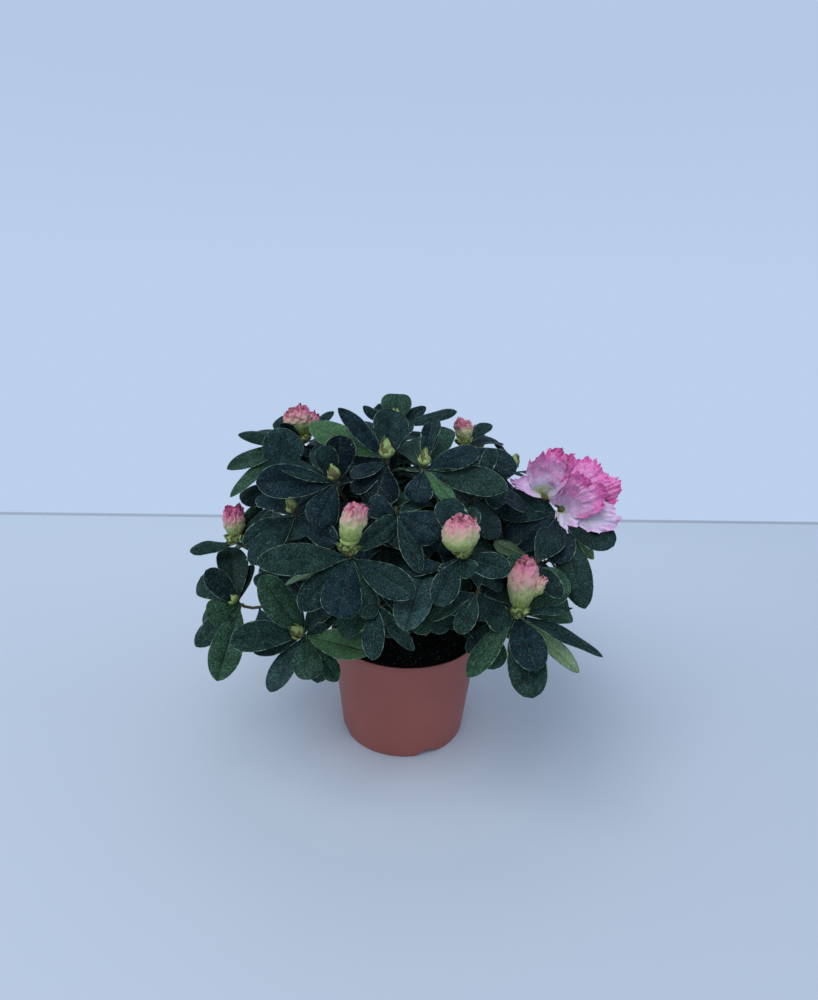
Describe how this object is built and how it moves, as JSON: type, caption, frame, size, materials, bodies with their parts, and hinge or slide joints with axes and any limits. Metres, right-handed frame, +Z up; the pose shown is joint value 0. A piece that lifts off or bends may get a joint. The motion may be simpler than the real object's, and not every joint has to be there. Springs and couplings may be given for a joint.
{
  "type": "potted azalea",
  "caption": "Low domed azalea shrub in a plastic nursery pot, with oval leaves in whorls, pink flower buds and an open double bloom.",
  "frame": {"origin": "middle of the pot's flat underside, on the plane that it stands on", "axes": "+Z up along the pot's axis, -Y towards the front of the plant, +X towards its right as seen from the front"},
  "size_m": [0.2857, 0.241, 0.2348],
  "materials": {
    "pot": "thin terracotta-coloured plastic with a satin surface",
    "soil": "moist dark peat with pale specks",
    "bark": "rough grey-brown bark",
    "foliage": "leathery dark green leaves with a low sheen, pink buds and bloom"
  },
  "bodies": {
    "root": {"pot": "pot", "soil": "soil", "main_stem": "bark", "bough_front": "bark", "bough_front_right": "bark", "bough_right": "bark", "bough_back_right": "bark", "bough_back_left": "bark", "bough_left": "bark", "bough_front_left": "bark", "bough_upper_front": "bark", "bough_upper_right": "bark", "bough_upper_back": "bark", "bough_upper_left": "bark", "bough_top": "bark", "foliage_front": "foliage", "foliage_front_right": "foliage", "foliage_right": "foliage", "foliage_back_right": "foliage", "foliage_back_left": "foliage", "foliage_left": "foliage", "foliage_front_left": "foliage", "foliage_upper_front": "foliage", "foliage_upper_right": "foliage", "foliage_upper_back": "foliage", "foliage_upper_left": "foliage", "foliage_top": "foliage"}
  },
  "joints": []
}
